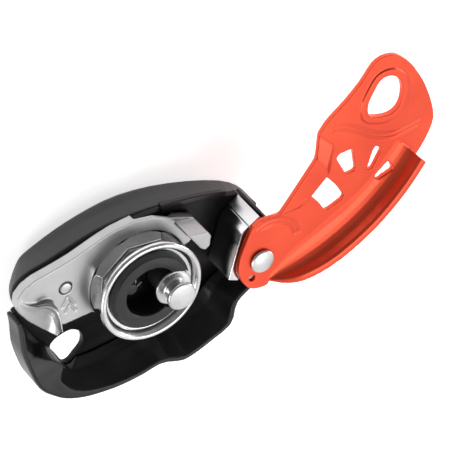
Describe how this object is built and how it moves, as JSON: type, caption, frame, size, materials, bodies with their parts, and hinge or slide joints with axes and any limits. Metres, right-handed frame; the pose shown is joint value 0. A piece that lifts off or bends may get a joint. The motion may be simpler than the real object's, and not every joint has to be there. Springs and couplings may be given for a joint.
{
  "type": "belay device",
  "caption": "Hand-held belay and lowering device, its side plate swung open: a cam with a free rope wheel, a pull handle, a friction block and a carabiner eye.",
  "frame": {"origin": "on the axle pin's axis, at the rear face of the pin and of the fixed side plate", "axes": "+Z from the fixed plate to the moving side plate, along every hinge axis; +X from the fixed plate's carabiner eye to the friction block; +Y to the folded handle's side"},
  "size_m": [0.1647, 0.0774, 0.0378],
  "materials": {
    "black_metal": "satin",
    "black_plastic": "satin",
    "charcoal_plastic": "satin",
    "satin_aluminium": "satin",
    "polished_steel": "polished",
    "brushed_pins": "brushed",
    "satin_steel": "satin",
    "forged_silver": "satin",
    "red_aluminium": "anodised satin"
  },
  "bodies": {
    "frame": {"fixed_side_plate": "black_metal", "body_shell": "black_plastic", "spacer_block": "satin_aluminium", "wear_plate": "polished_steel", "pivot_rivet": "brushed_pins", "pivot_washer": "black_plastic", "axle_pin": "brushed_pins", "thrust_washer": "black_plastic", "handle_rest_clip": "black_plastic", "shell_screw_1": "black_metal", "shell_screw_2": "black_metal", "shell_screw_3": "black_metal"},
    "cam_lever": {"cam": "forged_silver", "hub_cap": "charcoal_plastic", "cam_spring": "polished_steel", "handle_link_pin": "brushed_pins"},
    "wheel": {"wheel_front_flange": "polished_steel", "wheel_core": "polished_steel"},
    "handle": {"handle_lever": "satin_steel", "handle_grip": "charcoal_plastic", "handle_washer": "black_plastic", "handle_screw_1": "black_metal", "handle_screw_2": "black_metal"},
    "side": {"side_plate": "red_aluminium"}
  },
  "joints": [
    {"name": "cam_pivot", "type": "hinge", "parent": "frame", "child": "cam_lever", "pos_m": [0, 0, 0.008], "axis": [0, 0, 1], "range_deg": [-35, 0], "stiffness_Nm_per_rad": 0.05, "springref_deg": 34.38},
    {"name": "wheel_spin", "type": "hinge", "parent": "cam_lever", "child": "wheel", "pos_m": [-0.0062, 0.0065, 0.011], "axis": [0, 0, 1], "continuous": true},
    {"name": "handle_fold", "type": "hinge", "parent": "cam_lever", "child": "handle", "pos_m": [-0.0255, 0.0272, -0.002], "axis": [0, 0, 1], "range_deg": [0, 150]},
    {"name": "side_plate_swing", "type": "hinge", "parent": "frame", "child": "side", "pos_m": [0.0275, -0.0156, 0.019], "axis": [0, 0, 1], "range_deg": [-15, 152]}
  ]
}
